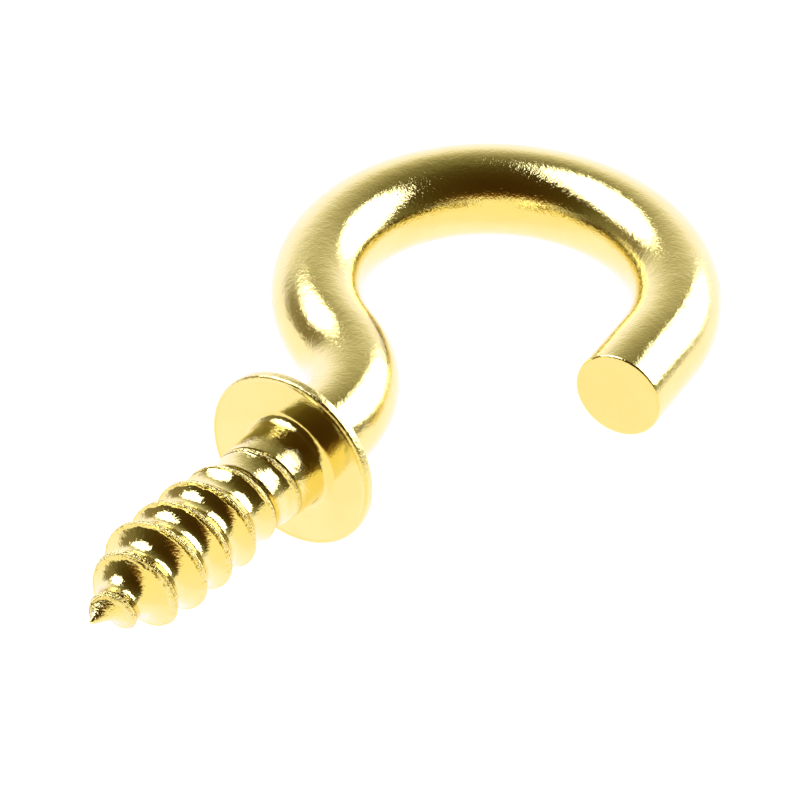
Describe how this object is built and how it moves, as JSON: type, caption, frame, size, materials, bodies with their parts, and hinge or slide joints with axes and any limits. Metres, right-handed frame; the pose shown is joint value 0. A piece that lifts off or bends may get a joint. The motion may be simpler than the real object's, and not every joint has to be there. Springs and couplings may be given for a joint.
{
  "type": "j hook",
  "caption": "Screw-in shouldered J hook: a wood-screw thread with a point, a thin round collar that seats on the wood, and an open round-wire bow for hanging things.",
  "frame": {"origin": "centre of the collar's seating face, on the screw's axis", "axes": "+Z along the screw to its point; the bow hangs below in the XZ plane with its free end on the +X side; +Y completes the right-handed frame"},
  "size_m": [0.0149, 0.006, 0.0288],
  "materials": {
    "plated_brass": "bright plated, lightly pebbled"
  },
  "bodies": {
    "root": {"cup_hook": "plated_brass"}
  },
  "joints": []
}
